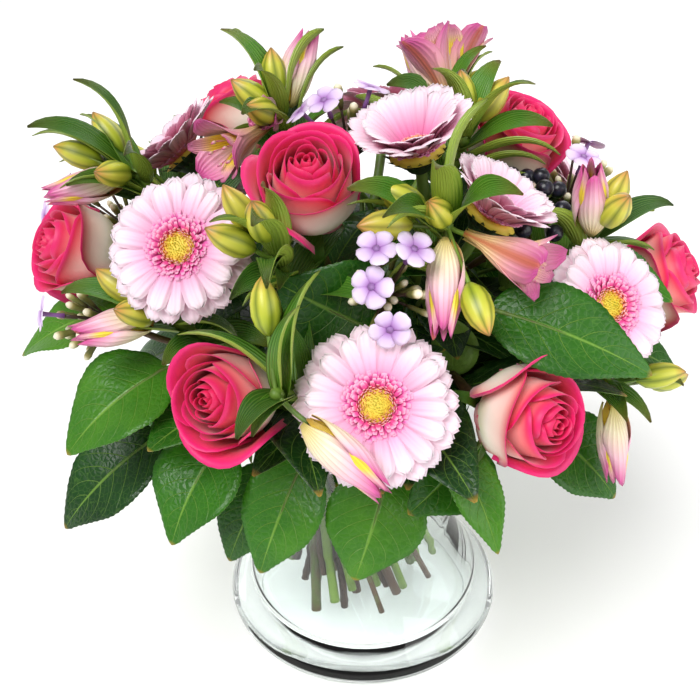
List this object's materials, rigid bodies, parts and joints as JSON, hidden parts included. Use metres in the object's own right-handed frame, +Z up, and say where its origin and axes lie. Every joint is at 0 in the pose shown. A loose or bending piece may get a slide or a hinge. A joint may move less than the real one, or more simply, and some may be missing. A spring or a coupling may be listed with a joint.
{
  "type": "bouquet in a vase",
  "caption": "Round hand-tied bouquet of gerberas, roses, alstroemerias, phlox and ivy berries with broad leaves, standing in a clear glass vase with a thick flared foot.",
  "frame": {"origin": "centre of the vase's base, on the surface it stands on", "axes": "+Z up, -Y towards the bouquet's front, +X to its right as seen from the front"},
  "size_m": [0.3535, 0.3175, 0.3687],
  "materials": {
    "clear_glass": "polished clear glass",
    "gerbera_flower": "soft pink rays on a green stem",
    "rose_flower": "velvety hot pink petals on a green stem",
    "alstroemeria_flower": "yellow-green buds and pink and yellow blooms on green stalks",
    "phlox_flower": "lilac florets on purple-brown tubes",
    "ivy_berry": "blue-black berries on tan stalks",
    "foliage": "glossy green leaves"
  },
  "bodies": {
    "root": {"vase": "clear_glass", "gerbera_1": "gerbera_flower", "gerbera_2": "gerbera_flower", "gerbera_3": "gerbera_flower", "gerbera_4": "gerbera_flower", "gerbera_5": "gerbera_flower", "gerbera_6": "gerbera_flower", "gerbera_7": "gerbera_flower", "gerbera_8": "gerbera_flower", "gerbera_9": "gerbera_flower", "rose_1": "rose_flower", "rose_2": "rose_flower", "rose_3": "rose_flower", "rose_4": "rose_flower", "rose_5": "rose_flower", "rose_6": "rose_flower", "rose_7": "rose_flower", "rose_8": "rose_flower", "rose_9": "rose_flower", "alstroemeria_1": "alstroemeria_flower", "alstroemeria_2": "alstroemeria_flower", "alstroemeria_3": "alstroemeria_flower", "alstroemeria_4": "alstroemeria_flower", "alstroemeria_5": "alstroemeria_flower", "alstroemeria_6": "alstroemeria_flower", "alstroemeria_7": "alstroemeria_flower", "alstroemeria_8": "alstroemeria_flower", "alstroemeria_9": "alstroemeria_flower", "alstroemeria_10": "alstroemeria_flower", "alstroemeria_11": "alstroemeria_flower", "phlox_1": "phlox_flower", "phlox_2": "phlox_flower", "phlox_3": "phlox_flower", "phlox_4": "phlox_flower", "phlox_5": "phlox_flower", "ivy_berries": "ivy_berry", "leaf_1": "foliage", "leaf_2": "foliage", "leaf_3": "foliage", "leaf_4": "foliage", "leaf_5": "foliage", "leaf_6": "foliage", "leaf_7": "foliage", "leaf_8": "foliage", "leaf_9": "foliage", "leaf_10": "foliage", "leaf_11": "foliage", "leaf_12": "foliage", "leaf_13": "foliage", "leaf_14": "foliage", "leaf_15": "foliage", "leaf_16": "foliage", "leaf_17": "foliage", "leaf_18": "foliage", "leaf_19": "foliage", "leaf_20": "foliage", "leaf_21": "foliage", "leaf_22": "foliage", "leaf_23": "foliage", "leaf_24": "foliage"}
  },
  "joints": []
}
